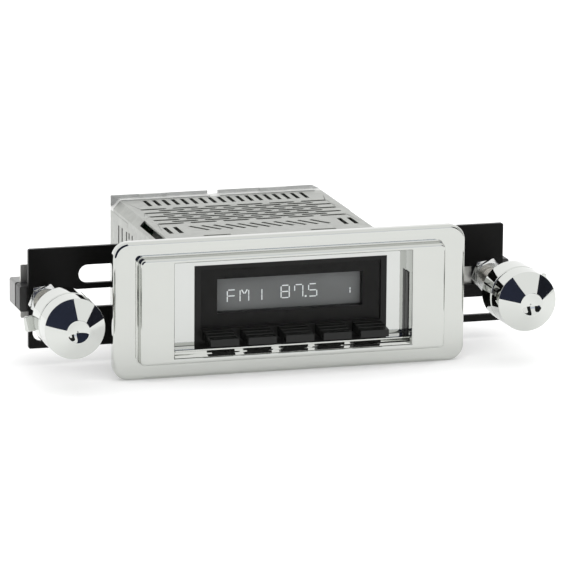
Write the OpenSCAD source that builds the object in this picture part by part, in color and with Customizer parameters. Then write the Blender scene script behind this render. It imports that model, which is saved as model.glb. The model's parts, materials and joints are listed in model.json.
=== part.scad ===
// Shaft-mounted car radio: slotted steel chassis, chrome nose and trim plate, five push keys,
// and two concentric rotary controls carried on slotted side brackets.
// X runs along the face, Y runs into the dashboard, Z is up.
// The origin is the centre of the trim plate's back plane, which seats on the dashboard.

/* [Trim plate] */
// Overall width of the trim plate
trim_w = 160; // [156:1:164]
// Overall height of the trim plate
trim_h = 61.4; // [60:0.2:63]
// Corner radius of the trim plate
trim_corner = 7; // [4:0.5:10]
// Depth of the outer border, front face to dashboard
trim_depth = 4.5; // [4:0.5:6]
// Width of the raised panel
panel_w = 138.4; // [134:0.2:142]
// Height of the raised panel
panel_h = 47.2; // [46.4:0.2:49]
// How far the raised panel stands in front of the border
panel_step = 5.5; // [4:0.5:6]
// Width of the nose opening
opening_w = 108; // [107.9:0.1:109]
// Height of the nose opening
opening_h = 42.5; // [42.3:0.1:43]

/* [Display] */
// Width of the black display frame
display_w = 87.5; // [84:0.5:92]
// Width of the lens
lens_w = 81.3; // [78:0.1:81.4]
// Width of the display window
window_w = 66.4; // [60:0.2:68]
// Sideways offset of the display in the nose
display_x = 1.2; // [0:0.1:2]

/* [Keys] */
// Number of push keys
key_count = 5; // [5:1:5]
// Spacing of the keys
key_pitch = 17.05; // [16.6:0.05:17.3]
// Width of one key
key_w = 12.8; // [11:0.1:12.9]
// Travel of a key
key_travel = 1.5; // [1:0.1:1.5]

/* [Chassis] */
// Width of the chassis over its cover
chassis_w = 102; // [102:0.5:102]
// Height of the chassis top above the trim's centre
chassis_top = 24.3; // [23.5:0.1:25]
// Depth of the chassis, front plate to rear panel
chassis_d = 88.2; // [88:0.2:92]
// Sheet thickness of the chassis
sheet = 1; // [0.8:0.1:1]

/* [Controls] */
// Distance between the two shaft axes
shaft_spacing = 204.4; // [203:0.2:206]
// Height of the shaft axes
shaft_z = -1; // [-1.5:0.1:-0.5]
// Diameter of both knobs
knob_d = 27.2; // [26:0.2:28]
// Diameter of the threaded bushing
bushing_d = 8; // [7.8:0.1:8]
// Push travel of the front knob
push_travel = 0.8; // [0.4:0.1:0.9]

/* [Brackets] */
// Overall width across both side brackets
bracket_span = 219; // [217:1:220]
// Height of a side bracket
bracket_h = 44.7; // [44:0.1:46]
// Thickness of a side bracket
bracket_t = 2; // [1.6:0.1:2]

/* [Hidden] */
$fn = 64;

// Colours
steel = [0.72, 0.73, 0.71];
chrome = [0.86, 0.87, 0.88];
dark = [0.08, 0.08, 0.08];
black_plastic = [0.12, 0.12, 0.12];
board_green = [0.1, 0.35, 0.2];
grey_metal = [0.55, 0.56, 0.55];

// Trim plate
trim_sheet = 1.8;
trim_front = -trim_depth;
panel_front = trim_front - panel_step;
panel_z = 0.25;
opening_z = 0.35;
collar_back = -1.1;
trim_screw_x = 62;
trim_screw_z = 17;
boss_r = 3.2;
screw_core_r = 1.2;
play = 0.05;

// Nose
nose_w = 107.3;
nose_h = 42.1;
nose_face = -0.4;
bezel_t = 2;
housing_front = nose_face + bezel_t + play;
housing_wall = 2;
flange_w = 132;
flange_h = 42;
flange_t = 1;
snap_z = [-12, 12];
snap_half = 3;
snap_end = 8;
lip_z = -20.1;
lip_r = 0.5;
nose_screw_x = 45;
nose_screw_z = 14;

// Display, measured in the frame
display_h = 37.2;
display_z = -0.9;
display_front = -0.9;
display_back = 4.5;
lens_h = 26;
lens_z = 2.7;
lens_t = 1;
lens_gap = 0.4;
lens_recess = 1.2;
window_h = 15.3;
window_x = display_x - 0.15;
window_z = 3.5;
lcd_front = 4.6;
lcd_t = 2.2;
segment_t = 0.12;
backlight_t = 4;
board_t = 1.6;
display_board_y = 15;

// Keys
key_x = 1.7;
key_front = -13.8;
key_back = 3;
key_bottom = -15.6;
key_tip_top = -12.5;
key_top = -11.3;
key_gap = 0.15;
key_groove_r = 0.55;
stem_r = 1.5;
stem_end = 12;
switch_front = 10;

// Chassis
chassis_front = 27;
chassis_back = chassis_front + chassis_d;
chassis_bottom = -trim_h / 2;
half_w = chassis_w / 2;
front_plate_t = 1.2;
fold_drop = 3.5;
fold_in = 3.1;
tray_half = half_w - sheet - 0.1;
skirt_bottom = -18;
skirt_back = 83;
cover_back = 109.5;
edge_bottom = chassis_top - fold_drop - 1.4;
rear_lip_top = chassis_top + 1.7;
rear_t = 1;
rear_face = chassis_back;
lip_tab_x = [-31.3, 26];
lip_notch = [-5.3, -0.5];
side_vent_y = [86, 93.8, 100.1];
side_vent_w = 1.8;

// Rear connectors, seen in X and Z
antenna_x = -38;
antenna_z = 10;
antenna_r = 6.5;
antenna_bore_r = 4.7;
harness_x = -26;
harness_z = -18;
harness_w = 34;
harness_h = 13;
rca_x = -8;
rca_z = 8;
rca_dx = 7.5;
rca_dz = 7;
rca_r = 4.2;
stud_x = 10;
stud_z = 8;
stud_r = 2.5;
fuse_x = 6;
fuse_z = -18;
fuse_w = 17;
fuse_h = 6;
sink_x0 = 22;
sink_x1 = 50;
connector_reach = 11;

// Inside the chassis
main_board_z = -22;
board_w = 88;
board_front = 33;
board_back = 110;
board_top = main_board_z + board_t + play;
standoff_xy = [[-40, 38], [40, 38], [-40, 102], [40, 98]];

// Screws in the chassis sides: [y, z]
side_screws = [[44, 12], [44, -12], [74, -4]];
bracket_screws_at = [side_screws[0], side_screws[1]];
cover_screws_at = [side_screws[2]];

// Vents in the top cover
vent_w = 2.5;
vent_l = 12.2;
vent_pitch = 15.1;
vent_row_pitch = 7.75;
vent_first_row = 57.4;
rear_vent_y = 95.2;
rear_vent_l = 12.3;
rear_vent_w = 1.8;
rear_vent_pitch = 4.36;

// Controls, measured from the front
shaft_x = shaft_spacing / 2;
knob_r = knob_d / 2;
bracket_front = 30.5;
bracket_back = bracket_front + bracket_t;
bracket_z = -0.15;
lock_nut_af = 13.5;
lock_nut_front = bracket_front - play - 1.6;
nut_af = 13;
nut_front = lock_nut_front - 2.6;
bushing_front = -1.2;
block_front = bracket_back + play;
bushing_back = block_front + 2;
block_back = 40;
frame_back = block_back + 1.5;
can_back = 52;
tab_front = block_front + play;
body_w = 20.4;
body_h = 11.4;
inner_shaft_r = 2;
outer_shaft_r = 3;
run = 0.05;
ring_back = -2.2;
ring_front = -14.6;
knob_gap = 1.2;
skirt_front = -24.6;
knob_tip = -31;
tip_r = 5.05;
dimple_r = 8;
wing_reach = 17.4;
wing_w = 7;
wing_front = -3.6;
wing_back = ring_back;
slot_r = 4.15;
slot_inner = 58;

// ---- shared shapes ----

// A rectangle with round corners, centred
module rounded(w, h, r) {
  square([w - 2 * r, h], center = true);
  square([w, h - 2 * r], center = true);
  for (sx = [-1, 1], sz = [-1, 1])
    translate([sx * (w / 2 - r), sz * (h / 2 - r)]) circle(r);
}

// Extrudes an outline drawn in X and Z from y0 to y1
module along_y(y0, y1) {
  translate([0, y1, 0]) rotate([90, 0, 0]) linear_extrude(y1 - y0) children();
}

// A box given by its lowest and highest corners
module span(a, b) {
  translate(a) cube(b - a);
}

// A rod along Y
module rod(x, z, r, y0, y1) {
  translate([x, y0, z]) rotate([-90, 0, 0]) cylinder(h = y1 - y0, r = r);
}

// A hexagonal prism along Y, one corner up and then turned by the angle a
module hex_rod(x, z, across_flats, y0, y1, a) {
  translate([x, y0, z]) rotate([0, a, 0]) rotate([-90, 90, 0])
    cylinder(h = y1 - y0, r = across_flats / sqrt(3), $fn = 6);
}

// Turns a profile of [radius, y] points about an axis along Y
module turned(x, z, points) {
  translate([x, 0, z]) rotate([-90, 0, 0]) rotate_extrude() polygon(points);
}

// A slot with round ends, from x0 to x1
module slot(x0, x1, z, r) {
  translate([x0 + r, z - r]) square([x1 - x0 - 2 * r, 2 * r]);
  translate([x0 + r, z]) circle(r);
  translate([x1 - r, z]) circle(r);
}

// A pan-head screw along Y, head towards -Y
module screw_y(x, z, y, head_r, head_t, shank_r, length) {
  difference() {
    rod(x, z, head_r, y - head_t, y);
    span([x - head_r * 0.6, y - head_t - 1, z - 0.3], [x + head_r * 0.6, y - head_t / 2, z + 0.3]);
    span([x - 0.3, y - head_t - 1, z - head_r * 0.6], [x + 0.3, y - head_t / 2, z + head_r * 0.6]);
  }
  rod(x, z, shank_r, y - 0.01, y + length);
}

// ---- trim plate ----

module trim_outline(inset) {
  rounded(trim_w - 2 * inset, trim_h - 2 * inset, trim_corner - inset);
}

module panel_outline(inset) {
  translate([0, panel_z]) rounded(panel_w - 2 * inset, panel_h - 2 * inset, 2.2 - inset);
}

module opening_outline(outset) {
  translate([0, opening_z]) square([opening_w + 2 * outset, opening_h + 2 * outset], center = true);
}

module trim_plate() color(chrome) {
  difference() {
    along_y(trim_front, 0) trim_outline(0);
    along_y(trim_front + trim_sheet, 1) trim_outline(trim_sheet);
    along_y(trim_front - 1, 1) panel_outline(trim_sheet);
  }
  difference() {
    along_y(panel_front, trim_front + trim_sheet) panel_outline(0);
    along_y(panel_front + trim_sheet, 1) panel_outline(trim_sheet);
    along_y(panel_front - 1, 1) opening_outline(0);
  }
  difference() {
    along_y(panel_front + 0.5, collar_back) opening_outline(1);
    along_y(panel_front - 1, 1) opening_outline(0);
  }
  for (sx = [-1, 1], sz = [-1, 1])
    difference() {
      rod(sx * trim_screw_x, sz * trim_screw_z, boss_r, panel_front + 1, collar_back);
      rod(sx * trim_screw_x, sz * trim_screw_z, screw_core_r, panel_front + 3, collar_back + 1);
    }
}

// Four countersunk screws hold the trim plate, and four pan-head screws the nose
module nose_screws() color(steel) {
  for (sx = [-1, 1], sz = [-1, 1])
    mirror([0, 1, 0]) {
      difference() {
        union() {
          countersink(sx * trim_screw_x, sz * trim_screw_z, -play);
          rod(sx * trim_screw_x, sz * trim_screw_z, screw_core_r - play, flange_t, 6);
        }
        translate([sx * trim_screw_x, 0, sz * trim_screw_z]) cube([3.4, 1, 0.6], center = true);
      }
      screw_y(
        sx * nose_screw_x, sz * nose_screw_z, -chassis_front - front_plate_t - play,
        2.4, 1.6, screw_core_r - play, 7
      );
    }
}

// The flat-headed cone of a countersunk screw or its seat, in mirrored Y, made larger by the margin
module countersink(x, z, margin) {
  translate([x, play - margin, z]) rotate([-90, 0, 0])
    cylinder(h = flange_t + 2 * margin, r1 = 2.4 + margin, r2 = screw_core_r + margin);
}

// ---- nose ----

module nose_outline(inset) {
  translate([0, opening_z]) square([nose_w - 2 * inset, nose_h - 2 * inset], center = true);
}

module nose_housing() color(black_plastic) {
  difference() {
    along_y(housing_front, chassis_front - play) nose_outline(0);
    along_y(0, chassis_front + 1) nose_outline(housing_wall);
    for (z = snap_z)
      translate([0, 0, opening_z + z])
        span([-nose_w, snap_end - 2.1, -snap_half - 0.1], [nose_w, snap_end + 0.1, snap_half + 0.1]);
  }
  for (sx = [-1, 1], sz = [-1, 1])
    difference() {
      translate([sx * nose_screw_x, 0, sz * nose_screw_z])
        span([-7, 18, -3], [7, chassis_front - play, 3]);
      along_y(0, 40) difference() {
        square([200, 100], center = true);
        nose_outline(housing_wall - 0.01);
      }
      rod(sx * nose_screw_x, sz * nose_screw_z, screw_core_r, 19, 40);
    }
}

// Chrome face with a flange that carries the trim plate, a rounded lip under the keys and four
// snap hooks for the housing
module nose_bezel() color(chrome) {
  inner_x = nose_w / 2 - housing_wall - play;
  difference() {
    union() {
      along_y(nose_face, nose_face + bezel_t) nose_outline(0);
      along_y(-play - flange_t, -play) rounded(flange_w, flange_h, 2);
    }
    along_y(-3, nose_face) opening_outline(0);
    along_y(-5, 5) translate([display_x, display_z])
      square([display_w + 0.2, display_h + 0.2], center = true);
    mirror([0, 1, 0]) for (sx = [-1, 1], sz = [-1, 1])
      countersink(sx * trim_screw_x, sz * trim_screw_z, play);
  }
  translate([display_x - display_w / 2, nose_face, lip_z]) rotate([0, 90, 0])
    cylinder(h = display_w, r = lip_r);
  for (sx = [0, 1], z = snap_z)
    translate([0, 0, opening_z + z]) mirror([sx, 0, 0]) {
      span([inner_x - 1.2, nose_face + bezel_t - 0.01, -snap_half], [inner_x, snap_end, snap_half]);
      span([inner_x - 0.1, snap_end - 2, -snap_half], [inner_x + 1, snap_end, snap_half]);
    }
}

module display_frame() color(dark) {
  difference() {
    union() {
      along_y(display_front, display_back)
        translate([display_x, display_z]) square([display_w, display_h], center = true);
      along_y(housing_front, housing_front + 1.5)
        translate([display_x, display_z]) square([display_w + 8, display_h], center = true);
    }
    span([-60, housing_front - play, -30], [60, display_back + 1, opening_z - nose_h / 2 + 3.4]);
    along_y(display_front - 1, display_front + lens_recess)
      translate([display_x, lens_z])
        square([lens_w + 2 * lens_gap, lens_h + 2 * lens_gap], center = true);
    along_y(-5, 10) translate([window_x, window_z]) square([window_w, window_h], center = true);
    for (i = [1 : key_count])
      along_y(-5, 10) translate([key_centre(i), (key_bottom + key_top) / 2])
        square([key_w + 2 * key_gap, key_top - key_bottom + 2 * key_gap], center = true);
  }
}

module display_lens() color([0.2, 0.2, 0.2, 0.35]) {
  along_y(display_front + lens_recess - lens_t - 0.05, display_front + lens_recess - 0.05)
    translate([display_x, lens_z]) square([lens_w, lens_h], center = true);
}

module lcd_panel() color([0.4, 0.42, 0.43]) {
  along_y(lcd_front, lcd_front + lcd_t)
    translate([window_x, window_z]) square([window_w + 4, window_h + 4], center = true);
}

// One character of seven bars, given by the bars that are lit; x and z are its lower left corner
module character(x, z, w, h, bars) {
  t = 0.66;
  g = 0.1;
  half = (h - t) / 2;
  at = [
    [t, h - t, w - 2 * t, t], [w - t, t / 2 + half, t, half - t / 2], [w - t, t / 2, t, half],
    [t, 0, w - 2 * t, t], [0, t / 2, t, half], [0, t / 2 + half, t, half - t / 2],
    [t, half, w - 2 * t, t]
  ];
  for (i = bars)
    translate([x + at[i][0] + g, z + at[i][1] + g]) square([at[i][2] - 2 * g, at[i][3] - 2 * g]);
}

module lcd_segments() color([0.95, 0.95, 0.92]) {
  along_y(lcd_front - segment_t, lcd_front) {
    character(-26.7, -0.7, 4.4, 6, [0, 4, 5, 6]);
    character(-20.9, -0.7, 4.6, 6, [1, 2, 4, 5]);
    for (s = [-1, 1])
      translate([-18.6 + s * 0.75, 3.95]) rotate(s * -32) square([0.55, 2.1], center = true);
    character(-14.7, -0.7, 4.4, 6, [1, 2]);
    character(-2.2, -0.2, 4.4, 6.2, [0, 1, 2, 3, 4, 5, 6]);
    character(4, -0.2, 4.4, 6.2, [0, 1, 2, 5]);
    translate([9, -0.1]) square([0.8, 0.8]);
    character(10.4, -0.2, 4.4, 6.2, [0, 2, 3, 5, 6]);
    character(27.1, 0.2, 3, 3.6, [1, 2]);
  }
}

module backlight() color([0.9, 0.92, 0.95]) {
  along_y(lcd_front + lcd_t + play, lcd_front + lcd_t + play + backlight_t)
    translate([window_x, window_z]) square([window_w + 4, window_h + 4], center = true);
}

module display_board() color(board_green) {
  difference() {
    along_y(display_board_y, display_board_y + board_t)
      translate([0, opening_z]) square([98, 35], center = true);
    along_y(0, 30) translate([-30, 0]) square([4, 2], center = true);
  }
}

// ---- push keys ----

function key_centre(i) = key_x + (i - (key_count + 1) / 2) * key_pitch;

// Key profile in Y and Z: blunt tip, sloping top with finger grooves, square body, round stem
module key_shape(i) {
  x = key_centre(i);
  grooves = [-9.4, -5.6, -1.9];
  difference() {
    translate([x - key_w / 2, 0, 0]) rotate([90, 0, 90]) linear_extrude(key_w)
      polygon([
        [key_front, key_bottom], [key_front, key_tip_top], [-2, key_top],
        [key_back, key_top], [key_back, key_bottom]
      ]);
    for (y = grooves) {
      z = key_tip_top + (y - key_front) * (key_top - key_tip_top) / (-2 - key_front);
      translate([x - key_w, y, z + 0.25]) rotate([0, 90, 0]) cylinder(h = 2 * key_w, r = key_groove_r);
    }
  }
  rod(x, (key_top + key_bottom) / 2, stem_r, key_back - 0.5, stem_end);
}

module button_1() color(black_plastic) key_shape(1);
module button_2() color(black_plastic) key_shape(2);
module button_3() color(black_plastic) key_shape(3);
module button_4() color(black_plastic) key_shape(4);
module button_5() color(black_plastic) key_shape(5);

module key_switches() color([0.25, 0.25, 0.27]) {
  z = (key_top + key_bottom) / 2;
  for (i = [1 : key_count])
    difference() {
      span(
        [key_centre(i) - 5, switch_front, z - 3.5],
        [key_centre(i) + 5, display_board_y - play, z + 3.5]
      );
      rod(key_centre(i), z, stem_r + 0.1, switch_front - 1, stem_end + key_travel + 0.5);
    }
}

module key_springs() color(steel) {
  for (i = [1 : key_count])
    difference() {
      rod(key_centre(i), (key_top + key_bottom) / 2, 2.2, key_back + play, switch_front - play);
      rod(key_centre(i), (key_top + key_bottom) / 2, 1.75, 0, 20);
    }
}

module flex_cable() color([0.75, 0.5, 0.2]) {
  translate([-36, 0, 0]) rotate([90, 0, 90]) linear_extrude(16)
    polygon([
      [16.65, -6], [16.85, -6], [16.85, -9.8], [34.2, -9.8], [34.2, -20.3], [34, -20.3],
      [34, -10], [16.65, -10]
    ]);
}

// ---- chassis ----

// Upright vents through both sides near the back
module side_vents() {
  for (y = side_vent_y, s = [-1, 1])
    translate([s * half_w, 0, 0]) span([-4, y - side_vent_w / 2, -16], [4, y + side_vent_w / 2, 15]);
}

// Screw holes through both sides: the cover's rear pair and the bracket's two
module side_holes(r) {
  for (at = side_screws, s = [-1, 1])
    translate([s * half_w, at[0], at[1]]) rotate([0, 90, 0]) cylinder(h = 8, r = r, center = true);
}

// Folded channel: square sides, bent-over edges and a flat top
module cover_profile(bottom) {
  difference() {
    polygon([
      [-half_w, bottom], [-half_w, chassis_top - fold_drop], [-half_w + fold_in, chassis_top],
      [half_w - fold_in, chassis_top], [half_w, chassis_top - fold_drop], [half_w, bottom]
    ]);
    polygon([
      [-half_w + sheet, bottom - 1], [-half_w + sheet, chassis_top - fold_drop - 0.4],
      [-half_w + fold_in + 0.4, chassis_top - sheet], [half_w - fold_in - 0.4, chassis_top - sheet],
      [half_w - sheet, chassis_top - fold_drop - 0.4], [half_w - sheet, bottom - 1]
    ]);
  }
}

// Staggered rows of long vents, a rear row along the depth, corner vents and a slanted row
module cover_vents() {
  for (row = [0 : 4], i = [0 : 5])
    translate([(i - 2.5) * vent_pitch, vent_first_row + row * vent_row_pitch])
      slot(-vent_l / 2, vent_l / 2, 0, vent_w / 2);
  for (row = [0 : 3], i = [0 : 4])
    translate([(i - 2) * vent_pitch, vent_first_row + (row + 0.5) * vent_row_pitch])
      slot(-vent_l / 2, vent_l / 2, 0, vent_w / 2);
  for (i = [0 : 17])
    translate([(i - 8.5) * rear_vent_pitch - rear_vent_w / 2, rear_vent_y])
      square([rear_vent_w, rear_vent_l]);
  for (x = [38.1, 42.8], s = [-1, 1])
    translate([s * x - 1, 37.2]) square([2, 13]);
  translate([-30.2, 28.9]) square([12.5, 1.7]);
  translate([19.1, 28.9]) square([11.7, 1.7]);
  for (i = [0 : 10])
    translate([(i - 5) * 5.6, 45.4]) rotate(-55) square([11.4, 2.1], center = true);
}

module top_cover() color(steel) {
  difference() {
    union() {
      along_y(chassis_front, skirt_back) cover_profile(skirt_bottom);
      along_y(skirt_back - 0.01, cover_back) cover_profile(edge_bottom);
    }
    translate([0, 0, chassis_top - 3]) linear_extrude(6) cover_vents();
    for (s = [-1, 1])
      translate([s * (half_w - 2.25), 0, 0])
        span([-1.15, 28.5, chassis_top - 5], [1.15, 66, chassis_top + 1]);
    for (y = [75.5, 81], s = [-1, 1])
      translate([s * half_w, y, 14]) cube([6, 1.6, 3], center = true);
    side_holes(1.7);
  }
}

// Channel with thicker sides behind the cover's skirts
module chassis_tray() color(steel) {
  back = chassis_back - rear_t - 0.1;
  difference() {
    union() {
      span(
        [-tray_half, chassis_front + front_plate_t + play, chassis_bottom],
        [tray_half, back, chassis_top - 4.2]
      );
      span(
        [-half_w + play, skirt_back + 0.4, chassis_bottom + 1],
        [half_w - play, back, edge_bottom - 0.1]
      );
    }
    span(
      [-tray_half + sheet, chassis_front, chassis_bottom + sheet],
      [tray_half - sheet, chassis_back + 1, chassis_top]
    );
    for (i = [0 : 7], s = [-1, 1])
      translate([s * 24 - 12 + i * 3.4, 0, 0])
        span([-0.7, 78, chassis_bottom - 1], [0.7, 106, chassis_bottom + 2]);
    side_holes(1.2);
    side_vents();
  }
}

module front_plate() color(steel) {
  difference() {
    span(
      [-tray_half, chassis_front, chassis_bottom],
      [tray_half, chassis_front + front_plate_t, chassis_top - 4.2]
    );
    span([-38, 0, -14], [38, 60, 12]);
    for (sx = [-1, 1], sz = [-1, 1])
      rod(sx * nose_screw_x, sz * nose_screw_z, screw_core_r + 0.2, 0, 60);
  }
}

// Upright rear sheet with a folded edge that meets the cover and a notched lip above it
module rear_panel() color([0.78, 0.79, 0.77]) {
  difference() {
    union() {
      along_y(rear_face - rear_t, rear_face)
        polygon([
          [-half_w, chassis_bottom + 1], [half_w, chassis_bottom + 1],
          [half_w, chassis_top - fold_drop], [half_w - fold_in, chassis_top + 0.1],
          [half_w - 6.4, rear_lip_top], [-half_w, rear_lip_top]
        ]);
      along_y(cover_back + 0.1, rear_face - 0.5) cover_profile(edge_bottom);
      span(
        [-half_w + 3.5, cover_back + 0.1, chassis_top - 0.5],
        [half_w - 6.4, rear_face, chassis_top + 0.3]
      );
      for (x = lip_tab_x)
        translate([x, 0, 0])
          span([-6.5, rear_face - rear_t - 0.9, chassis_top + 0.3], [6.5, rear_face, rear_lip_top]);
    }
    span([lip_notch[0], 100, chassis_top], [lip_notch[1], 130, 40]);
    rod(antenna_x, antenna_z, antenna_r + 0.1, 100, 130);
    translate([harness_x, 0, harness_z]) cube([harness_w + 0.2, 300, harness_h + 0.2], center = true);
    rca_places() rod(0, 0, rca_r + 0.1, 100, 130);
    rod(stud_x, stud_z, stud_r + 0.05, 100, 130);
    translate([fuse_x, 0, fuse_z]) cube([fuse_w + 0.2, 300, fuse_h + 0.2], center = true);
  }
}

module rca_places() {
  for (sx = [-1, 1], sz = [-1, 1])
    translate([rca_x + sx * rca_dx, 0, rca_z + sz * rca_dz]) children();
}

// A pan-head screw along X through the chassis side, head outside; s is the side
module screw_side(s, y, z, seat) {
  translate([s * seat, y, z]) rotate([0, 0, s * 90]) screw_y(0, 0, 0, 2.8, 1.6, 1.1, 5);
}

module cover_screws() color(grey_metal) {
  for (at = cover_screws_at, s = [-1, 1])
    screw_side(s, at[0], at[1], half_w + play);
}

module bracket_screws() color(grey_metal) {
  for (at = bracket_screws_at, s = [-1, 1])
    screw_side(s, at[0], at[1], half_w + bracket_t + 2 * play);
}

module heat_sink() color([0.35, 0.36, 0.37]) {
  span([sink_x0, rear_face + play, -27], [sink_x1, rear_face + 3, 20]);
  for (i = [0 : 6])
    translate([sink_x0 + i * 4.333, rear_face, 0]) span([0, 2.9, -27], [2, connector_reach, 20]);
}

module rear_stud() color(grey_metal) {
  rod(stud_x, stud_z, stud_r, rear_face - 4, rear_face + 14);
  rod(stud_x, stud_z, 4, rear_face + play, rear_face + 1);
  difference() {
    hex_rod(stud_x, stud_z, 8, rear_face - rear_t - 2.6, rear_face - rear_t - play, 0);
    rod(stud_x, stud_z, stud_r - 0.01, 100, 130);
  }
}

module antenna_socket() color([0.75, 0.75, 0.73]) {
  difference() {
    rod(antenna_x, antenna_z, antenna_r, rear_face - 4, rear_face + connector_reach);
    rod(antenna_x, antenna_z, antenna_bore_r, rear_face - 2, rear_face + 20);
    rod(antenna_x, antenna_z, 1.7, rear_face - 3.5, rear_face);
  }
}

module harness_socket() color([0.15, 0.15, 0.15]) {
  difference() {
    translate([harness_x, 0, harness_z])
      span(
        [-harness_w / 2, board_back + play, -harness_h / 2],
        [harness_w / 2, rear_face + 10, harness_h / 2]
      );
    translate([harness_x, 0, harness_z])
      span(
        [-harness_w / 2 + 1.5, rear_face - 1, -harness_h / 2 + 1.5],
        [harness_w / 2 - 1.5, rear_face + 11, harness_h / 2 - 1.5]
      );
  }
  for (i = [0 : 7], s = [-1, 1])
    translate([harness_x + (i - 3.5) * 3.6, rear_face + 1.4, harness_z + s * 2.4])
      cube([0.9, 5, 0.9], center = true);
}

module rca_jacks() color(chrome) {
  rca_places() {
    difference() {
      rod(0, 0, rca_r, rear_face - 3, rear_face + 9);
      rod(0, 0, rca_r - 0.5, rear_face + 1, rear_face + 10);
    }
    difference() {
      rod(0, 0, 2.6, rear_face + 0.9, rear_face + 8.6);
      rod(0, 0, 1.6, rear_face + 2, rear_face + 10);
    }
  }
}

module blade_fuse() color([0.75, 0.35, 0.1]) {
  translate([fuse_x, rear_face, fuse_z]) cube([fuse_w, 8, fuse_h], center = true);
  translate([fuse_x, rear_face + 5, fuse_z]) cube([fuse_w + 2, 3, 4], center = true);
}

module main_board() color(board_green) {
  difference() {
    span([-board_w / 2, board_front, main_board_z], [board_w / 2, board_back, main_board_z + board_t]);
    for (at = standoff_xy)
      translate([at[0], at[1], main_board_z - 1]) cylinder(h = 5, r = 1.7);
  }
}

module board_standoffs() color([0.75, 0.62, 0.3]) {
  for (at = standoff_xy) {
    translate([at[0], at[1], chassis_bottom + sheet + 0.02])
      cylinder(h = main_board_z - chassis_bottom - sheet - 0.04, r = 3);
    translate([at[0], at[1], main_board_z - 1]) cylinder(h = 3.5, r = 1.5);
    translate([at[0], at[1], main_board_z + board_t + play]) cylinder(h = 1.5, r = 2.7);
  }
}

module tuner_module() color([0.8, 0.8, 0.78]) {
  span([-42, 62, board_top], [-18, 98, board_top + 14]);
  span([-40, 64, board_top + 13.9], [-20, 96, board_top + 14.6]);
}

module amplifier_chip() color(dark) {
  span([24, 104, board_top + 4], [46, 108.5, board_top + 20]);
  for (i = [0 : 11])
    span([25.4 + i * 1.7, 105.8, board_top], [26 + i * 1.7, 106.4, board_top + 4.1]);
}

module amplifier_clamp() color(steel) {
  span([22, 102.8, board_top + 9], [48, 104 - play, board_top + 15]);
  span([20, 102.8, board_top + 9], [22.1, rear_face - rear_t - play, board_top + 15]);
}

module capacitors() color([0.15, 0.17, 0.3]) {
  for (at = [[-6, 98, 5, 20], [8, 98, 5, 20], [20, 84, 4, 12], [30, 84, 4, 12], [0, 60, 3.2, 9]])
    translate([at[0], at[1], board_top]) {
      cylinder(h = at[3], r = at[2]);
      cylinder(h = at[3] + 0.3, r = at[2] * 0.72);
    }
}

// ---- side brackets ----

// Bracket for side s: a slotted plate across the front and a flange along the chassis
module bracket(s) color(dark) {
  x0 = half_w + play;
  difference() {
    translate([s * (x0 + bracket_span / 2) / 2, 0, bracket_z]) along_y(bracket_front, bracket_back)
      rounded(bracket_span / 2 - x0, bracket_h, 0.9);
    along_y(0, 60) scale_x(s) {
      slot(slot_inner, 86.9, 9.8, slot_r);
      slot(slot_inner, shaft_x + slot_r + 0.1, shaft_z, slot_r);
      slot(84, 107.7, -15.2, slot_r);
    }
  }
  difference() {
    translate([s * (x0 + bracket_t / 2), 0, 0])
      span([-bracket_t / 2, bracket_back - 0.01, -16.4], [bracket_t / 2, 60, 16.4]);
    for (at = bracket_screws_at)
      translate([s * half_w, at[0], at[1]]) rotate([0, 90, 0]) cylinder(h = 12, r = 1.7, center = true);
  }
}

// Mirrors an outline for the left side
module scale_x(s) {
  if (s > 0) children();
  else mirror([1, 0]) children();
}

module left_bracket() bracket(-1);
module right_bracket() bracket(1);

// ---- rotary controls ----

// Black plastic body of the encoder against the bracket, with the passages of bushing and shafts
module encoder_block(s) color(dark) {
  difference() {
    translate([s * (shaft_x + 0.6), 0, -0.4]) along_y(block_front, block_back)
      rounded(body_w, body_h, 1);
    translate([s * (shaft_x - 8.5), 0, 0]) span([-1.8, 30, -10], [1.8, tab_front + 0.85, 10]);
    rod(s * shaft_x, shaft_z, bushing_d / 2 + 0.01, 0, bushing_back + 0.01);
    rod(s * shaft_x, shaft_z, outer_shaft_r + run, 0, 39);
    rod(s * shaft_x, shaft_z, inner_shaft_r + run, 0, 60);
  }
}

// Bright mounting plate behind the block, with a tab that wraps the block's inner side
module control_frame(s) color(grey_metal) {
  difference() {
    union() {
      translate([s * (shaft_x - 0.85), 0, 1.3]) along_y(block_back + 0.01, frame_back)
        rounded(18.9, 24, 0.6);
      translate([s * (shaft_x - 9.98), 0, 0]) span([-0.32, tab_front, -6], [0.32, frame_back, 5]);
      translate([s * (shaft_x - 8.55), 0, 0]) span([-1.75, tab_front, -6], [1.75, tab_front + 0.8, 5]);
    }
    rod(s * shaft_x, shaft_z, inner_shaft_r + run, 0, 60);
  }
}

// Grey metal can behind the plate, hollow around the push plunger
module encoder_can(s) color(grey_metal) {
  difference() {
    translate([s * (shaft_x + 0.6), 0, -0.4]) along_y(frame_back + 0.01, can_back)
      rounded(body_w, body_h, 1);
    rod(s * shaft_x, shaft_z, inner_shaft_r + run, 0, 44.1);
    rod(s * shaft_x, shaft_z, 4.5, 44, 48.7 + push_travel);
    rod(s * shaft_x, shaft_z, 2.1, 49, 60);
  }
}

module bushing(s) color([0.7, 0.68, 0.62]) {
  difference() {
    rod(s * shaft_x, shaft_z, bushing_d / 2, bushing_front, bushing_back);
    rod(s * shaft_x, shaft_z, outer_shaft_r + run, bushing_front - 1, bushing_back + 1);
  }
}

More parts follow.
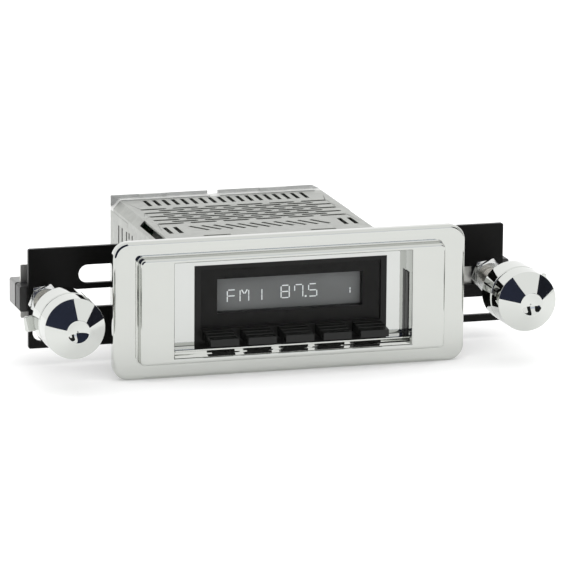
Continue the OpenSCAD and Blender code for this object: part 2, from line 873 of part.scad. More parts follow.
// Hexagonal nut with chamfered corners, from y0 to y1 and turned to the angle a
module hex_nut(s, across_flats, y0, y1, a) {
  difference() {
    intersection() {
      hex_rod(s * shaft_x, shaft_z, across_flats, y0, y1, a);
      turned(s * shaft_x, shaft_z, [
        [0, y0 - 1], [across_flats / 2 - 0.7, y0 - 0.2], [across_flats / 2 + 2, y0 + 1.6],
        [across_flats / 2 + 2, y1 + 1], [0, y1 + 1]
      ]);
    }
    rod(s * shaft_x, shaft_z, bushing_d / 2 + 0.01, 0, 60);
  }
}

module lock_nut(s) color(grey_metal) {
  hex_nut(s, lock_nut_af, lock_nut_front, bracket_front - play, 20);
}

module nut(s, a) color(grey_metal) {
  hex_nut(s, nut_af, nut_front, lock_nut_front - 0.02, a);
}

module outer_shaft(s) color(steel) {
  difference() {
    rod(s * shaft_x, shaft_z, outer_shaft_r, ring_front + 0.4, 38.5);
    rod(s * shaft_x, shaft_z, inner_shaft_r + run, ring_front - 1, 60);
  }
}

module inner_shaft(s) color([0.75, 0.68, 0.5]) {
  rod(s * shaft_x, shaft_z, inner_shaft_r, knob_tip + 6, 45);
}

module plunger(s) color(black_plastic) {
  rod(s * shaft_x, shaft_z, 4.3, 45 + play, 46.8);
  rod(s * shaft_x, shaft_z, 2, 46.7, 51);
}

// Rear knob: ring with a hub on the outer shaft and one wing, turned to the angle a
module rear_knob(s, a) color(chrome) {
  turned(s * shaft_x, shaft_z, [
    [outer_shaft_r + 0.02, ring_front], [knob_r - 0.5, ring_front], [knob_r, ring_front + 0.5],
    [knob_r, ring_back - 0.8], [knob_r - 0.6, ring_back], [knob_r - 1.8, ring_back],
    [knob_r - 1.8, ring_front + 3], [5.6, ring_front + 3], [5.6, ring_back - 0.8],
    [outer_shaft_r + 0.02, ring_back - 0.8]
  ]);
  intersection() {
    translate([s * shaft_x, 0, shaft_z]) rotate([0, -a, 0])
      span([knob_r - 1, wing_front, -wing_w / 2], [wing_reach + 1, wing_back, wing_w / 2]);
    rod(s * shaft_x, shaft_z, wing_reach, ring_front, ring_back);
  }
}

// Front knob: skirt, shallow cone face and a dished tip
module front_knob(s) color(chrome) {
  skirt_back_y = ring_front - knob_gap;
  difference() {
    turned(s * shaft_x, shaft_z, [
      [0, knob_tip], [tip_r, knob_tip],
      [knob_r - 0.25, skirt_front - 0.15], [knob_r, skirt_front + 0.1],
      [knob_r, skirt_back_y - 0.4], [knob_r - 0.4, skirt_back_y], [knob_r - 1.6, skirt_back_y],
      [knob_r - 1.6, skirt_front + 2.2], [5, skirt_front + 1], [5, skirt_back_y], [0, skirt_back_y]
    ]);
    translate([s * shaft_x, knob_tip - sqrt(dimple_r * dimple_r - pow(tip_r - 0.4, 2)), shaft_z])
      sphere(dimple_r);
    rod(s * shaft_x, shaft_z, inner_shaft_r + 0.02, knob_tip + 6 - 0.05, 0);
  }
}

module left_control_frame() control_frame(-1);
module left_encoder_block() encoder_block(-1);
module left_encoder_can() encoder_can(-1);
module left_bushing() bushing(-1);
module left_lock_nut() lock_nut(-1);
module left_nut() nut(-1, 9);
module left_outer_shaft() outer_shaft(-1);
module left_inner_shaft() inner_shaft(-1);
module left_plunger() plunger(-1);
module left_rear_knob() rear_knob(-1, 187);
module left_front_knob() front_knob(-1);
module right_control_frame() control_frame(1);
module right_encoder_block() encoder_block(1);
module right_encoder_can() encoder_can(1);
module right_bushing() bushing(1);
module right_lock_nut() lock_nut(1);
module right_nut() nut(1, 4.5);
module right_outer_shaft() outer_shaft(1);
module right_inner_shaft() inner_shaft(1);
module right_plunger() plunger(1);
module right_rear_knob() rear_knob(1, 13);
module right_front_knob() front_knob(1);

chassis_tray();
top_cover();
rear_panel();
front_plate();
cover_screws();
heat_sink();
main_board();
board_standoffs();
tuner_module();
amplifier_chip();
amplifier_clamp();
capacitors();
antenna_socket();
harness_socket();
rca_jacks();
blade_fuse();
rear_stud();
nose_housing();
nose_bezel();
display_frame();
display_lens();
lcd_panel();
lcd_segments();
backlight();
display_board();
flex_cable();
key_switches();
key_springs();
button_1();
button_2();
button_3();
button_4();
button_5();
trim_plate();
nose_screws();
left_bracket();
right_bracket();
bracket_screws();
left_control_frame();
left_encoder_block();
left_encoder_can();
left_bushing();
left_lock_nut();
left_nut();
left_outer_shaft();
left_inner_shaft();
left_plunger();
left_rear_knob();
left_front_knob();
right_control_frame();
right_encoder_block();
right_encoder_can();
right_bushing();
right_lock_nut();
right_nut();
right_outer_shaft();
right_inner_shaft();
right_plunger();
right_rear_knob();
right_front_knob();
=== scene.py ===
"""Looks for the shaft-mounted car radio: chrome, zinc, black plastic and a lit display."""
import json
import math

import bmesh
import bpy
from mathutils import Matrix, Vector

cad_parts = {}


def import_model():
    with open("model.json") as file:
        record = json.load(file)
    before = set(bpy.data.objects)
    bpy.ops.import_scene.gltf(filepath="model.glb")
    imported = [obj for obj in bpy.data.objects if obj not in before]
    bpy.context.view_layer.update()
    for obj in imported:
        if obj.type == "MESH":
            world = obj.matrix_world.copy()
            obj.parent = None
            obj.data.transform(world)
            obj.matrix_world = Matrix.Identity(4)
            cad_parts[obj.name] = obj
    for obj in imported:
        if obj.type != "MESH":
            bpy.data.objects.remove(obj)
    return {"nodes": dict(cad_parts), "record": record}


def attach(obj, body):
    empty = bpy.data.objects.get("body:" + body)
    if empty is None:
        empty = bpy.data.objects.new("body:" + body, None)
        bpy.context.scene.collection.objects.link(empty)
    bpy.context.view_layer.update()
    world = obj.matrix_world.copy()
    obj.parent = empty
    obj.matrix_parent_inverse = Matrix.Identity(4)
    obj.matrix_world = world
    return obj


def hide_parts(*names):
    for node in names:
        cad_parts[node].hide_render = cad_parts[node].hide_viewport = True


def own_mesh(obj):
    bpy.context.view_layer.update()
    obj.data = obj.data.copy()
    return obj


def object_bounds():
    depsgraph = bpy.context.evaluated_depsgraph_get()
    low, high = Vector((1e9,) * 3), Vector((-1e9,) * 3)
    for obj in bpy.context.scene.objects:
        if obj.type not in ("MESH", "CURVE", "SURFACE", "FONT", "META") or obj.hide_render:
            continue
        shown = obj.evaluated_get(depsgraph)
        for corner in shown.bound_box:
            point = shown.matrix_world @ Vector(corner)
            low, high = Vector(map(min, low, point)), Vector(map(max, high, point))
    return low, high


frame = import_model()
cad_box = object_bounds()
NODES = frame["nodes"]
SLOT_OF = {part["node"]: part["material_slot"] for part in frame["record"]["subparts"]}
MM = 0.001
SIDES = (("left", -1), ("right", 1))


# ---- materials ----------------------------------------------------------------------------------


class Shader:
    """A material being built: one principled shader and the textures that feed it."""

    def __init__(self, name):
        self.material = bpy.data.materials.new(name)
        self.material.use_nodes = True
        self.tree = self.material.node_tree
        self.shader = self.tree.nodes["Principled BSDF"]
        self.place = self.node("ShaderNodeTexCoord").outputs["Object"]

    def node(self, kind, **settings):
        made = self.tree.nodes.new(kind)
        for key, value in settings.items():
            setattr(made, key, value)
        return made

    def link(self, source, target):
        self.tree.links.new(source, target)

    def feed(self, source, name):
        """Links a texture to the named input of the principled shader."""
        self.link(source, self.shader.inputs[name])

    def set(self, **inputs):
        for key, value in inputs.items():
            self.shader.inputs[key.replace("_", " ")].default_value = value

    def stretched(self, scale):
        """Object coordinates scaled along each axis."""
        mapping = self.node("ShaderNodeMapping")
        mapping.inputs["Scale"].default_value = scale
        self.link(self.place, mapping.inputs["Vector"])
        return mapping.outputs["Vector"]

    def noise(self, scale, detail, stretch=(1, 1, 1)):
        """Soft noise; a stretch below 1 draws it out along that axis."""
        made = self.node("ShaderNodeTexNoise")
        made.inputs["Scale"].default_value = scale
        made.inputs["Detail"].default_value = detail
        self.link(self.stretched(stretch), made.inputs["Vector"])
        return made.outputs["Fac"]

    def cells(self, scale):
        """A random value for each crystal-like cell."""
        made = self.node("ShaderNodeTexVoronoi", feature="F1")
        made.inputs["Scale"].default_value = scale
        self.link(self.place, made.inputs["Vector"])
        split = self.node("ShaderNodeSeparateColor")
        self.link(made.outputs["Color"], split.inputs["Color"])
        return split.outputs["Red"]

    def spread(self, source, low, high):
        """Maps the middle of a texture's range to low and high."""
        made = self.node("ShaderNodeMapRange")
        made.inputs["From Min"].default_value = 0.25
        made.inputs["From Max"].default_value = 0.75
        made.inputs["To Min"].default_value = low
        made.inputs["To Max"].default_value = high
        self.link(source, made.inputs["Value"])
        return made.outputs["Result"]

    def tint(self, source, dark, light):
        """A colour between dark and light."""
        made = self.node("ShaderNodeMix", data_type="RGBA")
        made.inputs["A"].default_value = (*dark, 1)
        made.inputs["B"].default_value = (*light, 1)
        self.link(source, made.inputs["Factor"])
        return made.outputs["Result"]

    def bump(self, source, height):
        """Raises the surface by the texture times a height in metres."""
        made = self.node("ShaderNodeBump")
        made.inputs["Distance"].default_value = height
        made.inputs["Strength"].default_value = 1.0
        self.link(source, made.inputs["Height"])
        self.feed(made.outputs["Normal"], "Normal")


def shade(color, factor):
    return tuple(min(1.0, c * factor) for c in color)


def metal(name, color, rough, stretch=(1, 1, 1)):
    """Bare metal: a fine grain in its gloss and soft clouds in its tone."""
    s = Shader(name)
    s.set(Metallic=1.0)
    grain = s.noise(scale=900, detail=4, stretch=stretch)
    cloud = s.spread(s.noise(scale=35, detail=3), 0, 1)
    s.feed(s.tint(cloud, shade(color, 0.96), shade(color, 1.04)), "Base Color")
    s.feed(s.spread(grain, rough - 0.03, rough + 0.03), "Roughness")
    s.bump(grain, height=0.00001)
    return s.material


def plated(name, color, rough):
    """Polished plating: almost a mirror, with faint haze and very shallow waviness."""
    s = Shader(name)
    s.set(Metallic=1.0)
    haze = s.spread(s.noise(scale=60, detail=4), 0, 1)
    s.feed(s.tint(haze, shade(color, 0.985), color), "Base Color")
    s.feed(s.spread(s.noise(scale=420, detail=5), rough * 0.7, rough * 1.5), "Roughness")
    s.bump(s.noise(scale=45, detail=2), height=0.000006)
    return s.material


def galvanised(name, color, rough):
    """Zinc-coated sheet: faint crystal cells and a fine rolling grain."""
    s = Shader(name)
    s.set(Metallic=1.0)
    s.feed(s.tint(s.cells(scale=260), shade(color, 0.93), shade(color, 1.05)), "Base Color")
    rolled = s.noise(scale=700, detail=4, stretch=(0.25, 1, 1))
    s.feed(s.spread(rolled, rough - 0.06, rough + 0.06), "Roughness")
    s.bump(rolled, height=0.00002)
    return s.material


def plastic(name, color, rough, grain=2200, bump=0.00002, specular=0.5, vary=0.05):
    """Plastic or paint: grain and bump are the scale and height in metres of its texture."""
    s = Shader(name)
    s.set(Specular_IOR_Level=specular)
    fine = s.noise(scale=grain, detail=3)
    tone = s.noise(scale=50, detail=2)
    s.feed(s.tint(tone, shade(color, 0.85), shade(color, 1.15)), "Base Color")
    s.feed(s.spread(fine, rough - vary, rough + vary), "Roughness")
    s.bump(fine, height=bump)
    return s.material


def turned_metal(name, color, rough, stretch=(0.15, 1, 0.15)):
    """Turned metal: a very fine grain, drawn out across Y unless stretch says otherwise."""
    s = Shader(name)
    s.set(Metallic=1.0)
    grain = s.noise(scale=1500, detail=3, stretch=stretch)
    tone = s.noise(scale=60, detail=3)
    s.feed(s.tint(tone, shade(color, 0.94), shade(color, 1.04)), "Base Color")
    s.feed(s.spread(grain, rough - 0.05, rough + 0.05), "Roughness")
    s.bump(grain, height=0.000015)
    return s.material


def smoked(name, alpha):
    """Thin smoked lens with a matt anti-glare face: it only dims what lies behind it."""
    s = Shader(name)
    s.set(Alpha=alpha, Specular_IOR_Level=0.0, Base_Color=(0, 0, 0, 1))
    s.feed(s.spread(s.noise(scale=90, detail=3), 0.02, 0.05), "Roughness")
    return s.material


def lit(name, color, glow):
    """Lit segments: pale, with a soft unevenness from the lamp behind."""
    s = Shader(name)
    s.set(Roughness=0.4, Emission_Strength=glow)
    uneven = s.tint(s.noise(scale=120, detail=2), shade(color, 0.9), color)
    s.feed(uneven, "Base Color")
    s.feed(uneven, "Emission Color")
    return s.material


def board(name):
    """Solder mask over copper: tracks show as slightly raised, lighter lines."""
    s = Shader(name)
    s.set(Roughness=0.35)
    brick = s.node("ShaderNodeTexBrick")
    brick.inputs["Scale"].default_value = 160
    brick.inputs["Mortar Size"].default_value = 0.06
    brick.inputs["Color1"].default_value = (0.007, 0.050, 0.024, 1)
    brick.inputs["Color2"].default_value = (0.009, 0.065, 0.030, 1)
    brick.inputs["Mortar"].default_value = (0.018, 0.11, 0.05, 1)
    s.link(s.place, brick.inputs["Vector"])
    s.feed(brick.outputs["Color"], "Base Color")
    s.bump(brick.outputs["Fac"], height=0.00003)
    return s.material


def recipe(make, *values, **settings):
    return make, values, settings


# Bump heights in metres
SATIN, GLASSY = 0.000004, 0.0000005

RECIPES = {
    "galvanised_steel": recipe(galvanised, (0.375, 0.384, 0.362), 0.36),
    "galvanised_panel": recipe(galvanised, (0.74, 0.745, 0.73), 0.52),
    "zinc_screw": recipe(metal, (0.62, 0.62, 0.60), 0.25),
    "dark_aluminium": recipe(metal, (0.10, 0.10, 0.105), 0.38, stretch=(1, 1, 0.1)),
    "circuit_board": recipe(board),
    "standoff_brass": recipe(turned_metal, (0.72, 0.53, 0.24), 0.25, stretch=(1, 0.15, 0.15)),
    "tinned_can": recipe(metal, (0.70, 0.70, 0.68), 0.28, stretch=(1, 0.1, 1)),
    "chip_plastic": recipe(plastic, (0.02, 0.02, 0.021), 0.5),
    "spring_steel": recipe(metal, (0.50, 0.50, 0.49), 0.30),
    "capacitor_sleeve": recipe(plastic, (0.03, 0.035, 0.12), 0.28),
    "nickel": recipe(plated, (0.66, 0.63, 0.58), 0.12),
    "socket_plastic": recipe(plastic, (0.022, 0.022, 0.023), 0.45),
    "fuse_plastic": recipe(plastic, (0.75, 0.20, 0.03), 0.2),
    "housing_plastic": recipe(plastic, (0.02, 0.02, 0.02), 0.5),
    "chrome_plate": recipe(plated, (0.56, 0.572, 0.555), 0.035),
    "display_black": recipe(
        plastic, (0.0062, 0.0062, 0.0056), 0.30, bump=GLASSY, specular=0.205, vary=0.02,
    ),
    "smoked_lens": recipe(smoked, alpha=0.06),
    "lcd_glass": recipe(
        plastic, (0.190, 0.198, 0.197), 0.35, grain=400, bump=GLASSY, specular=0.2, vary=0.03,
    ),
    "lit_segment": recipe(lit, (0.80, 0.84, 0.84), glow=0.3),
    "light_guide": recipe(plastic, (0.80, 0.83, 0.86), 0.35),
    "flex_film": recipe(plastic, (0.45, 0.20, 0.04), 0.2, bump=SATIN),
    "switch_plastic": recipe(plastic, (0.05, 0.05, 0.055), 0.45),
    "key_plastic": recipe(
        plastic, (0.009, 0.0095, 0.0088), 0.24, bump=SATIN, specular=0.25, vary=0.04,
    ),
    "trim_chrome": recipe(plated, (0.55, 0.562, 0.536), 0.035),
    "black_steel": recipe(
        plastic, (0.004, 0.004, 0.0038), 0.34, grain=900, bump=SATIN, specular=0.12,
    ),
    "zinc_frame": recipe(metal, (0.72, 0.72, 0.69), 0.45),
    "encoder_case": recipe(metal, (0.24, 0.24, 0.235), 0.34),
    "encoder_plastic": recipe(plastic, (0.018, 0.018, 0.018), 0.42),
    "thread_nickel": recipe(turned_metal, (0.50, 0.48, 0.44), 0.28),
    "nut_nickel": recipe(plated, (0.66, 0.67, 0.66), 0.2),
    "shaft_steel": recipe(turned_metal, (0.62, 0.62, 0.61), 0.22),
    "shaft_brass": recipe(turned_metal, (0.66, 0.56, 0.32), 0.22),
    "knob_chrome": recipe(plated, (0.60, 0.615, 0.59), 0.03),
}
FINISH = {
    name: make(name, *values, **settings) for name, (make, values, settings) in RECIPES.items()
}


# ---- mesh helpers, in millimetres ---------------------------------------------------------------

# Radius that stands for the axis of a turned shape
AXIS_R = 0.01


def piece(name, shape, finish, body, stands_for=()):
    """A mesh piece from (verts, faces) that rides on a body and takes its material from a slot."""
    verts, faces = shape
    mesh = bpy.data.meshes.new(name)
    mesh.from_pydata([Vector(v) * MM for v in verts], [], faces)
    mesh.materials.append(FINISH[finish])
    made = bpy.data.objects.new(name, mesh)
    bpy.context.collection.objects.link(made)
    work = bmesh.new()
    work.from_mesh(mesh)
    bmesh.ops.recalc_face_normals(work, faces=work.faces)
    work.to_mesh(mesh)
    work.free()
    mesh.shade_smooth()
    flatten(made)
    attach(made, body)
    if stands_for:
        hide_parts(*stands_for)
    return made


def flatten(made):
    """Shades large faces flat beside small rounded ones."""
    weigh = made.modifiers.new("weighted", "WEIGHTED_NORMAL")
    weigh.keep_sharp = False
    weigh.weight = 80


def soften(made, width):
    """Rounds edges sharper than 30 degrees by a width in millimetres."""
    weld = made.modifiers.new("weld", "WELD")
    weld.merge_threshold = 0.00001
    cut = made.modifiers.new("bevel", "BEVEL")
    cut.width = width * MM
    cut.segments = 3
    cut.limit_method = "ANGLE"
    cut.angle_limit = math.radians(30)
    cut.use_clamp_overlap = True


def rounded_ring(w, h, r, cz, y, steps=10):
    """Points of a rectangle with round corners in the plane at y, centred on x = 0 and z = cz."""
    points = []
    for qx, qz, start in ((1, 1, 0), (-1, 1, 90), (-1, -1, 180), (1, -1, 270)):
        for k in range(steps + 1):
            a = math.radians(start + 90 * k / steps)
            x = qx * (w / 2 - r) + r * math.cos(a)
            points.append((x, y, cz + qz * (h / 2 - r) + r * math.sin(a)))
    return points


def round_point(cx, cz, r, y, a):
    """The point at angle a on a circle round an axis along Y."""
    return cx + r * math.cos(a), y, cz + r * math.sin(a)


def circle(cx, cz, r, y, steps):
    return [round_point(cx, cz, r, y, 2 * math.pi * k / steps) for k in range(steps)]


def loft(rings, closed=True):
    """Quads between rings of equal length; closed joins the last ring to the first."""
    count = len(rings[0])
    verts = [p for ring in rings for p in ring]
    faces = []
    for i in range(len(rings) if closed else len(rings) - 1):
        a, b = i * count, (i + 1) % len(rings) * count
        for k in range(count):
            n = (k + 1) % count
            faces.append((a + k, a + n, b + n, b + k))
    return verts, faces


def capped(rings):
    """An open loft with a face over its first and its last ring."""
    verts, faces = loft(rings, closed=False)
    count = len(rings[0])
    faces += [tuple(range(count)), tuple(range(len(verts) - count, len(verts)))]
    return verts, faces


def turn(cx, cz, profile, steps=128):
    """Turns a closed profile of (radius, y) about an axis along Y."""
    return loft([circle(cx, cz, r, y, steps) for r, y in profile])


def fillet(corners, steps=5):
    """A closed profile with its corners rounded; each corner is (u, v, radius)."""
    out = []
    count = len(corners)
    for i, (*point, radius) in enumerate(corners):
        p = Vector(point)
        if radius <= 0:
            out.append(tuple(p))
            continue
        before, after = Vector(corners[i - 1][:2]), Vector(corners[(i + 1) % count][:2])
        u, v = (before - p).normalized(), (after - p).normalized()
        half = u.angle(v) / 2
        longest = 0.49 * min((before - p).length, (after - p).length)
        reach = min(radius / math.tan(half), longest)
        radius = reach * math.tan(half)
        middle = p + (u + v).normalized() * (radius / math.sin(half))
        start, end = p + u * reach - middle, p + v * reach - middle
        sweep = start.angle_signed(end)
        for k in range(steps + 1):
            turned = start.copy()
            turned.rotate(Matrix.Rotation(-sweep * k / steps, 2))
            out.append(tuple(middle + turned))
    return out


def join(*meshes):
    """Several (verts, faces) as one."""
    verts, faces = [], []
    for v, f in meshes:
        base = len(verts)
        verts += v
        faces += [tuple(i + base for i in face) for face in f]
    return verts, faces


# ---- trim plate ---------------------------------------------------------------------------------

TRIM_W, TRIM_H, TRIM_R = 160, 61.4, 7
PANEL_W, PANEL_H, PANEL_R, PANEL_LEAST_R, PANEL_Z = 138.4, 47.2, 2.2, 0.5, 0.25
OPENING_W, OPENING_H, OPENING_R, OPENING_Z = 108, 42.5, 0.3, 0.35
BORDER_Y, PANEL_Y, LIP_BACK_Y = -4.5, -10, -1.1
WALL, LIP_WALL, LIP_FRONT_R, LIP_OUTER_R = 1.8, 1, 1.0, 0.9
BACK_CHAMFER, BORDER_EDGE, PANEL_FOOT, PANEL_EDGE, LIP_EDGE = 0.3, 1.4, 0.7, 1.1, 0.6
BOSS_X, BOSS_Z = 62, 17


def quarter(steps=6):
    """Sine and cosine of the angles from 0 to 90 degrees."""
    for k in range(steps + 1):
        a = math.pi / 2 * k / steps
        yield math.sin(a), math.cos(a)


def trim_ring(outset, y):
    return rounded_ring(TRIM_W + 2 * outset, TRIM_H + 2 * outset, TRIM_R + outset, 0, y)


def panel_ring(outset, y):
    r = max(PANEL_R + outset, PANEL_LEAST_R)
    return rounded_ring(PANEL_W + 2 * outset, PANEL_H + 2 * outset, r, PANEL_Z, y)


def opening_ring(outset, y, r):
    return rounded_ring(OPENING_W + 2 * outset, OPENING_H + 2 * outset, r, OPENING_Z, y)


def trim():
    """Trim plate: rounded border, raised panel, lipped opening, hollow back and screw bosses."""
    inner_y, border_inner_y = PANEL_Y + WALL, BORDER_Y + WALL
    rings = [trim_ring(-BACK_CHAMFER, 0), trim_ring(0, -BACK_CHAMFER)]
    for s, c in quarter():
        rings.append(trim_ring((c - 1) * BORDER_EDGE, BORDER_Y + (1 - s) * BORDER_EDGE))
    for s, c in quarter():
        rings.append(panel_ring((1 - s) * PANEL_FOOT, BORDER_Y + (c - 1) * PANEL_FOOT))
    for s, c in quarter():
        rings.append(panel_ring((c - 1) * PANEL_EDGE, PANEL_Y + (1 - s) * PANEL_EDGE))
    rings.append(opening_ring(LIP_WALL, PANEL_Y, LIP_FRONT_R))
    for s, c in quarter(5):
        outset = (1 - s) * LIP_EDGE
        rings.append(opening_ring(outset, PANEL_Y + (1 - c) * LIP_EDGE, OPENING_R + outset))
    rings += [
        opening_ring(0, LIP_BACK_Y, OPENING_R),
        opening_ring(LIP_WALL, LIP_BACK_Y, LIP_OUTER_R),
        opening_ring(LIP_WALL, inner_y, LIP_OUTER_R),
        panel_ring(-WALL, inner_y), panel_ring(-WALL, border_inner_y),
        trim_ring(-WALL, border_inner_y), trim_ring(-WALL, 0),
    ]
    hole_r, boss_r, hole_end, boss_foot = 1.2, 3.2, -7, -8.6
    boss = fillet([
        (hole_r, hole_end, 0), (hole_r, LIP_BACK_Y, 0.2), (boss_r, LIP_BACK_Y, 0.3),
        (boss_r, boss_foot, 0), (AXIS_R, boss_foot, 0), (AXIS_R, hole_end, 0),
    ])
    bosses = [turn(sx * BOSS_X, sz * BOSS_Z, boss, 32) for sx in (-1, 1) for sz in (-1, 1)]
    piece("trim_shell", join(loft(rings), *bosses), "trim_chrome", "radio", ["trim_plate"])


def painted_wall_reflections():
    """Black strips on the inner half of the opening's side walls: a painted reflection, standing in
    for the dark reflection that the chrome walls show there.
    """
    near, far, bottom, top = 53.8, 53.97, -20.6, 10.5
    front, back = -4.4, -0.6
    for side, s in SIDES:
        outline = [(s * near, bottom), (s * far, bottom), (s * far, top), (s * near, top)]
        strip = capped([[(x, y, z) for x, z in outline] for y in (front, back)])
        piece(f"{side}_painted_wall_reflection", strip, "display_black", "radio")


def sill():
    """Chrome slope under the keys, from the opening's front edge up to a narrow upright face."""
    half_length, bottom, top = 53.75, -20.85, -17.7
    outline = fillet([
        (-9.8, bottom, 0), (-9.8, -20.7, 0.1), (-8.69, -19.56, 12), (-7.5, -18.5, 0.1),
        (-7.5, top, 0.25), (-1, top, 0), (-1, bottom, 0),
    ])
    strip = capped([[(x, y, z) for y, z in outline] for x in (-half_length, half_length)])
    piece("sill", strip, "trim_chrome", "radio")


trim()
# Black strips that paint a dark reflection onto the opening's chrome side walls
painted_wall_reflections()
sill()


# ---- controls -----------------------------------------------------------------------------------

SHAFT_X, SHAFT_Z = 102.2, -1.0
KNOB_R = 13.6
WING_DEGREES = {"left": 187, "right": 13}


def front_knob(side, s):
    """Knob with a straight skirt, a shallow cone and a dished tip."""
    dish_r, mouth, dish_steps = 8.0, 4.65, 8
    tip, skirt_back, shaft_r, shaft_end = -31, -15.8, 2.02, -25
    centre = tip - math.sqrt(dish_r ** 2 - mouth ** 2)
    dish = []
    for k in range(dish_steps):
        r = mouth * k / dish_steps
        dish.append((max(r, AXIS_R), centre + math.sqrt(dish_r ** 2 - r ** 2)))
    outer = fillet([
        (AXIS_R, -29, 0), (5.0, tip, 0.35), (13.35, -24.75, 0.35), (KNOB_R, skirt_back, 0.4),
        (12.0, skirt_back, 0.2), (12.0, -22.4, 0.8), (5.0, -23.6, 0.5), (5.0, skirt_back, 0.3),
        (shaft_r, skirt_back, 0), (shaft_r, shaft_end, 0), (AXIS_R, shaft_end, 0),
    ], 6)[1:]
    shape = turn(s * SHAFT_X, SHAFT_Z, dish + outer)
    piece(f"{side}_front_knob_shell", shape, "knob_chrome", f"{side}_front", [f"{side}_front_knob"])


def wing(side, s):
    """Finger wing: a bar from the knob outward; its far sections follow circles round the shaft."""
    centre_y, root = -2.9, 12.3
    # Distance from the shaft, width and half thickness, from the root outward
    sections = (
        (root, 7, 0.7), (16.6, 7, 0.7), (17.15, 6.5, 0.62), (17.38, 5.7, 0.45), (17.4, 4.8, 0.3),
    )
    rings = []
    for reach, width, half_t in sections:
        ring = []
        for across, _, along in rounded_ring(width, 2 * half_t, min(0.4, half_t * 0.8), 0, 0, 4):
            out = reach if reach == root else math.sqrt(reach ** 2 - across ** 2)
            ring.append((out, centre_y + along, across))
        rings.append(ring)
    verts, faces = capped(rings)
    a = math.radians(WING_DEGREES[side])
    placed = []
    for out, y, across in verts:
        x = s * SHAFT_X + out * math.cos(a) - across * math.sin(a)
        placed.append((x, y, SHAFT_Z + out * math.sin(a) + across * math.cos(a)))
    return placed, faces


def rear_knob(side, s):
    """Ring knob with a hub, turned with softened edges, and its wing."""
    bore, front, back, hub_back, web = 3.02, -14.6, -2.2, -3.0, -11.6
    profile = fillet([
        (bore, front, 0.1), (13.1, front, 0.3), (KNOB_R, -14.1, 0.3), (KNOB_R, -3.0, 0.4),
        (13.0, back, 0.3), (11.8, back, 0.2), (11.8, web, 0.6), (5.6, web, 0.5),
        (5.6, hub_back, 0.2), (bore, hub_back, 0.1),
    ])
    shape = join(turn(s * SHAFT_X, SHAFT_Z, profile), wing(side, s))
    piece(f"{side}_rear_knob_shell", shape, "knob_chrome", f"{side}_rear", [f"{side}_rear_knob"])


def bushing(side, s):
    """Threaded bushing: the groove runs round as one helix and fades out at the end chamfers."""
    front, back, bore, crest = -1.2, 34.55, 3.05, 4.0
    pitch, depth, steepness, chamfer, fade = 0.9, 0.32, 3.2, 0.3, 0.5
    steps, rings_per_pitch = 64, 6
    count = int((back - front) / pitch * rings_per_pitch)
    rings = [circle(s * SHAFT_X, SHAFT_Z, bore, front, steps)]
    for i in range(count + 1):
        y = front + (back - front) * i / count
        full = max(min(1.0, (y - front) / fade, (back - y) / fade), 0)
        ring = []
        for k in range(steps):
            phase = (y / pitch + k / steps) % 1.0
            groove = max(0.0, 1 - abs(phase - 0.5) * steepness)
            r = crest - depth * groove * full - chamfer * (1 - full)
            ring.append(round_point(s * SHAFT_X, SHAFT_Z, r, y, 2 * math.pi * k / steps))
        rings.append(ring)
    rings.append(circle(s * SHAFT_X, SHAFT_Z, bore, back, steps))
    piece(f"{side}_thread", loft(rings), "thread_nickel", f"{side}_control", [f"{side}_bushing"])


for side, s in SIDES:
    front_knob(side, s)
    rear_knob(side, s)
    bushing(side, s)


# ---- key springs --------------------------------------------------------------------------------


def key_spring(number):
    """Coil spring round a key's stem; its end turns lie farther apart than the middle ones."""
    middle_x, pitch, z0 = 1.7, 17.05, -13.45
    x0 = middle_x + (number - 3) * pitch
    r, wire, turns, front, length, unevenness = 1.96, 0.2, 6, 3.3, 6.4, 0.055
    steps, sides = 24, 8
    rings = []
    for k in range(turns * steps + 1):
        share = k / (turns * steps)
        swing = unevenness * math.sin(2 * math.pi * share) / (2 * math.pi)
        y = front + length * (share + swing)
        a = 2 * math.pi * k / steps
        rings.append([
            round_point(x0, z0, r + wire * math.cos(b), y + wire * math.sin(b), a)
            for b in (2 * math.pi * j / sides for j in range(sides))
        ])
    spring = piece(f"spring_{number}", capped(rings), "spring_steel", "radio", ["key_springs"])
    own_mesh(spring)


for number in range(1, 6):
    key_spring(number)


# ---- carried-over nodes -------------------------------------------------------------------------

# Edge rounding in millimetres for nodes that need more than the least; {side} is left or right
LEAST_ROUNDING = 0.05
ROUNDING = {
    0.1: ("rca_jacks", "lcd_panel", "main_board", "display_board", "amplifier_clamp"),
    0.12: ("display_lens", "nose_screws", "{side}_nut", "{side}_lock_nut"),
    0.15: ("rear_panel", "nose_bezel", "bracket_screws", "cover_screws", "amplifier_chip"),
    0.2: (
        "chassis_tray", "front_plate", "display_frame", "rear_stud", "key_switches",
        "{side}_control_frame",
    ),
    0.22: tuple(f"button_{number}" for number in range(1, 6)),
    0.25: ("top_cover", "heat_sink", "harness_socket", "antenna_socket", "{side}_bracket"),
    0.3: (
        "nose_housing", "blade_fuse", "tuner_module", "capacitors",
        "{side}_encoder_block", "{side}_encoder_can",
    ),
}
rounding_of = {
    kind.format(side=side): width
    for width, kinds in ROUNDING.items() for kind in kinds for side, _ in SIDES
}
for name, node in NODES.items():
    node.data.materials.clear()
    node.data.materials.append(FINISH[SLOT_OF[name]])
    node.data.shade_smooth()
    soften(node, rounding_of.get(name, LEAST_ROUNDING))
    flatten(node)


# ---- studio -------------------------------------------------------------------------------------


def add(name, data):
    made = bpy.data.objects.new(name, data)
    bpy.context.collection.objects.link(made)
    return made


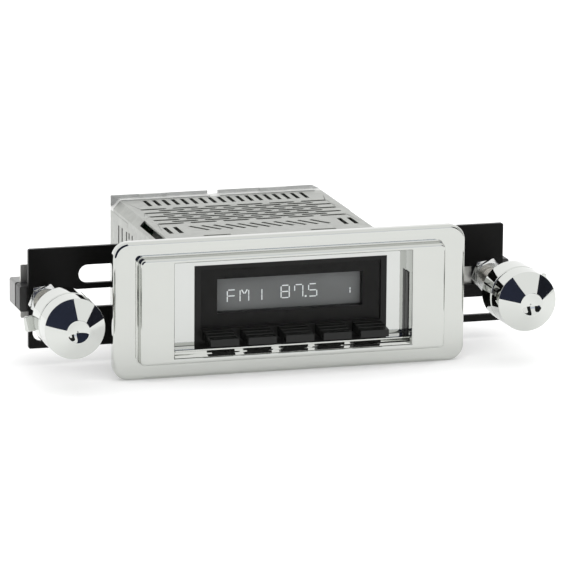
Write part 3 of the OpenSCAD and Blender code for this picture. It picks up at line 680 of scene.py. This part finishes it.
def floor():
    """Plain pale floor just under the object, with a faint glow that keeps it near white."""
    left, right, near, far, gap = -5, 5, -4, 5, 0.00002
    z = cad_box[0][2] - gap
    corners = [(left, near, z), (right, near, z), (right, far, z), (left, far, z)]
    mesh = bpy.data.meshes.new("floor")
    mesh.from_pydata(corners, [], [(0, 1, 2, 3)])
    s = Shader("pale_floor")
    s.set(Roughness=0.7, Emission_Strength=0.18)
    pale = s.tint(s.noise(scale=30, detail=3), (0.88, 0.88, 0.88), (0.91, 0.91, 0.91))
    s.feed(pale, "Base Color")
    s.feed(pale, "Emission Color")
    mesh.materials.append(s.material)
    add("floor", mesh)


def card(name, centre, width, height, color, heading=0):
    """Upright card for reflections: no camera ray, diffuse light or shadow meets it."""
    mesh = bpy.data.meshes.new(name)
    w, h = width / 2, height / 2
    mesh.from_pydata([(-w, 0, -h), (w, 0, -h), (w, 0, h), (-w, 0, h)], [], [(0, 1, 2, 3)])
    made = add(name, mesh)
    made.location = centre
    made.rotation_euler = (0, 0, math.radians(heading))
    made.visible_camera = made.visible_diffuse = False
    made.visible_shadow = made.visible_transmission = False
    s = Shader(name)
    s.set(Roughness=0.9, Specular_IOR_Level=0.1)
    s.feed(s.tint(s.noise(scale=2, detail=2), shade(color, 0.9), color), "Base Color")
    mesh.materials.append(s.material)


def lamp(name, location, size, power):
    """Soft rectangular lamp aimed at the origin and not seen in reflections."""
    data = bpy.data.lights.new(name, "AREA")
    data.shape = "RECTANGLE"
    data.size, data.size_y = size
    data.energy = power
    made = add(name, data)
    made.visible_glossy = False
    made.location = location
    aim = Vector((0, 0, 0)) - Vector(location)
    made.rotation_euler = aim.to_track_quat("-Z", "Y").to_euler()


def camera():
    """Camera at the photograph's angle, aimed near the middle of the trim plate."""
    heading, tilt, roll = math.radians(-16.393), math.radians(13.086), math.radians(0.437)
    target, distance = Vector((-1.381, -4.5, 6.564)) * MM, 2.163738
    level = math.cos(tilt)
    back = Vector((math.sin(heading) * level, -math.cos(heading) * level, math.sin(tilt)))
    right = Vector((0, 0, 1)).cross(back).normalized()
    up = back.cross(right)
    cam_x = right * math.cos(roll) + up * math.sin(roll)
    cam_y = up * math.cos(roll) - right * math.sin(roll)
    data = bpy.data.cameras.new("camera")
    data.sensor_width, data.lens = 36, 309.4356
    data.clip_start, data.clip_end = 0.05, 50
    made = add("camera", data)
    rows = [*zip(cam_x, cam_y, back, target + back * distance), (0, 0, 0, 1)]
    made.matrix_world = Matrix(rows)
    bpy.context.scene.camera = made


def world(strength):
    """Even white surroundings."""
    made = bpy.data.worlds.new("studio")
    made.use_nodes = True
    background = made.node_tree.nodes["Background"]
    background.inputs["Color"].default_value = (1, 1, 1, 1)
    background.inputs["Strength"].default_value = strength
    bpy.context.scene.world = made


# Places and sizes in metres, headings in degrees
DARK = (0.012, 0.013, 0.014)
floor()
world(strength=1.18)
lamp("overhead", location=(0.0, -0.2, 1.5), size=(2.0, 1.8), power=5)
card(
    "navy_card", centre=(-0.3065, -0.26, 0.2), width=0.587, height=0.44,
    color=(0.02, 0.024, 0.045),
)
card("dark_card_left", centre=(-0.16, -0.55, 0.22), width=0.38, height=0.44, color=DARK)
card("dark_card_right", centre=(0.46, -0.55, 0.22), width=0.32, height=0.44, color=DARK)
card("blue_card", centre=(0.165, -0.56, 0.1), width=0.27, height=0.1, color=(0.62, 0.67, 0.78))
card(
    "side_card", centre=(0.75, -0.185, 0.28), width=0.25, height=0.56,
    color=(0.012, 0.013, 0.020), heading=90,
)
camera()
view = bpy.context.scene.view_settings
view.view_transform = "Standard"
view.look = "None"
